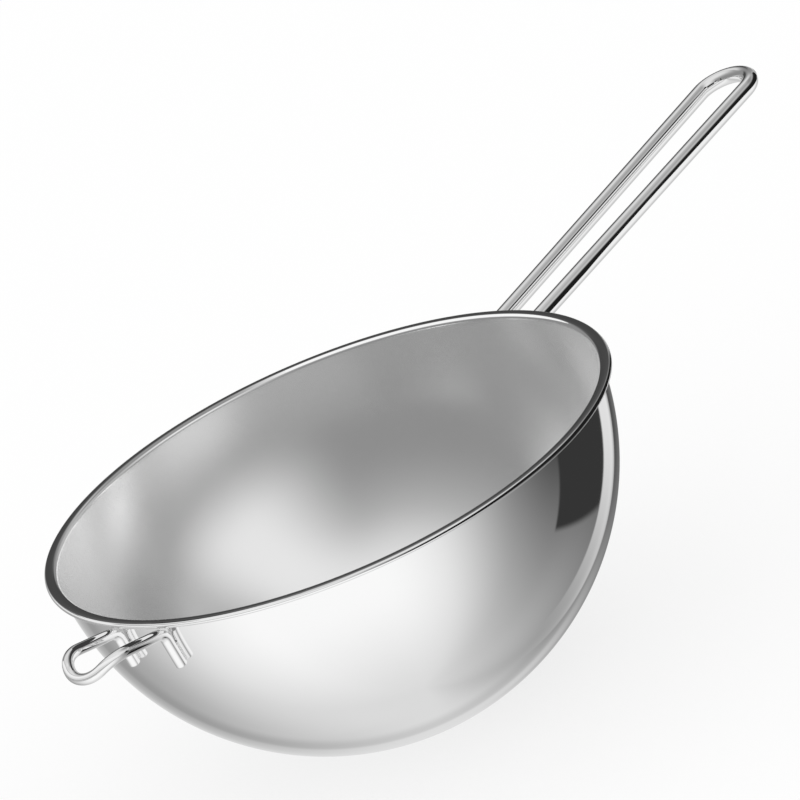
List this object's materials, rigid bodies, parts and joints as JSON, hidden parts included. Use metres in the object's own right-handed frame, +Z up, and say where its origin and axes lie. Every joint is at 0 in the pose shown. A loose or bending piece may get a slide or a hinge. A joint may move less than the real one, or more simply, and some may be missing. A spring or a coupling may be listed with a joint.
{
  "type": "bain-marie pot",
  "caption": "Half-round steel bowl with a flat turned-out rim, a long hairpin wire handle and a small wire hook opposite, for hanging in a larger pot of hot water.",
  "frame": {"origin": "centre of the flat base's underside", "axes": "+Z up along the bowl's axis, +X along the handle, -X along the hook, +Y to the left of the handle seen from above"},
  "size_m": [0.3046, 0.16, 0.0842],
  "materials": {
    "bowl_steel": "stainless steel sheet, mirror polished outside, satin inside",
    "wire_steel": "stainless steel wire, mirror polished",
    "weld_steel": "plain weld metal"
  },
  "bodies": {
    "root": {"bowl": "bowl_steel", "handle": "wire_steel", "hook": "wire_steel", "handle_weld_left": "weld_steel", "handle_weld_right": "weld_steel", "hook_weld_left": "weld_steel", "hook_weld_right": "weld_steel"}
  },
  "joints": []
}
